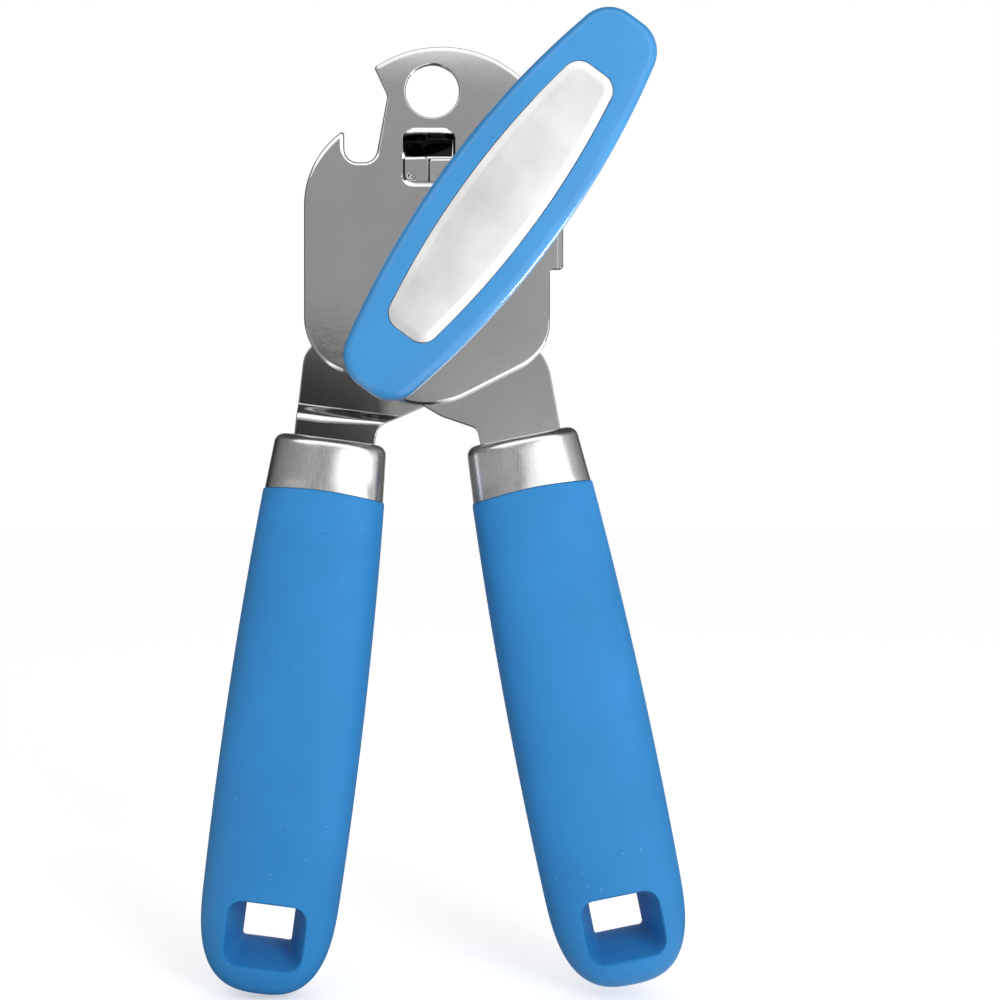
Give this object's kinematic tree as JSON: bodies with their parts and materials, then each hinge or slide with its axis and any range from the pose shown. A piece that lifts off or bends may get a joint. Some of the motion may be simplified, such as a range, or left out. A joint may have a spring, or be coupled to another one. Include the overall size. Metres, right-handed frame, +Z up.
{
  "type": "manual can opener",
  "caption": "Hand-held geared can opener: steel head plate with hang hole and bottle-opener notch, turning key with metal inlay, and two soft-gripped handles joined by a pivot.",
  "frame": {"origin": "centre of the hang hole in the head plate, at mid thickness of the plate", "axes": "+Z up along the plate towards the hang hole end with the handles pointing down, +X to the right seen from the key side, +Y from the key side to the gear side"},
  "size_m": [0.1019, 0.0296, 0.2035],
  "materials": {
    "plate_steel": "satin stainless sheet with eased edges",
    "arm_steel": "satin stainless sheet",
    "bright_steel": "bright nickel plate",
    "tool_steel": "ground and hardened steel",
    "ferrule_steel": "satin, brushed along the handle",
    "inlay_steel": "fine satin",
    "grip_blue": "matte soft-touch, fine grain",
    "key_blue": "matte, smooth",
    "core_plastic": "plain"
  },
  "bodies": {
    "head": {"front_plate": "plate_steel", "fixed_arm": "arm_steel", "pivot_rivet": "bright_steel", "pivot_bushing": "bright_steel", "pivot_washer": "bright_steel", "feed_bushing": "bright_steel", "left_ferrule": "ferrule_steel", "left_core": "core_plastic", "left_grip": "grip_blue", "left_tang_pins": "bright_steel"},
    "lever": {"lever_arm": "arm_steel", "cutter_axle": "bright_steel", "cutter_spacer": "bright_steel", "cutter_washer": "bright_steel", "right_ferrule": "ferrule_steel", "right_core": "core_plastic", "right_grip": "grip_blue", "right_tang_pins": "bright_steel"},
    "key": {"key_body": "key_blue", "key_inlay": "inlay_steel", "key_washer": "bright_steel", "drive_shaft": "bright_steel", "drive_gear": "tool_steel", "feed_wheel": "tool_steel", "feed_nut": "bright_steel"},
    "cutter": {"cutter_gear": "tool_steel", "cutter_wheel": "tool_steel"}
  },
  "joints": [
    {"name": "lever_pivot", "type": "hinge", "parent": "head", "child": "lever", "pos_m": [-0.0046, 0, -0.0502], "axis": [0, -1, 0], "range_deg": [0, 30]},
    {"name": "key_turn", "type": "hinge", "parent": "head", "child": "key", "pos_m": [0.0134, 0, -0.0258], "axis": [0, -1, 0], "continuous": true},
    {"name": "cutter_spin", "type": "hinge", "parent": "lever", "child": "cutter", "pos_m": [-0.0046, 0, -0.0258], "axis": [0, -1, 0], "continuous": true}
  ],
  "couplings": [
    {"joint": "cutter_spin", "follows": "key_turn", "ratio": -1}
  ]
}
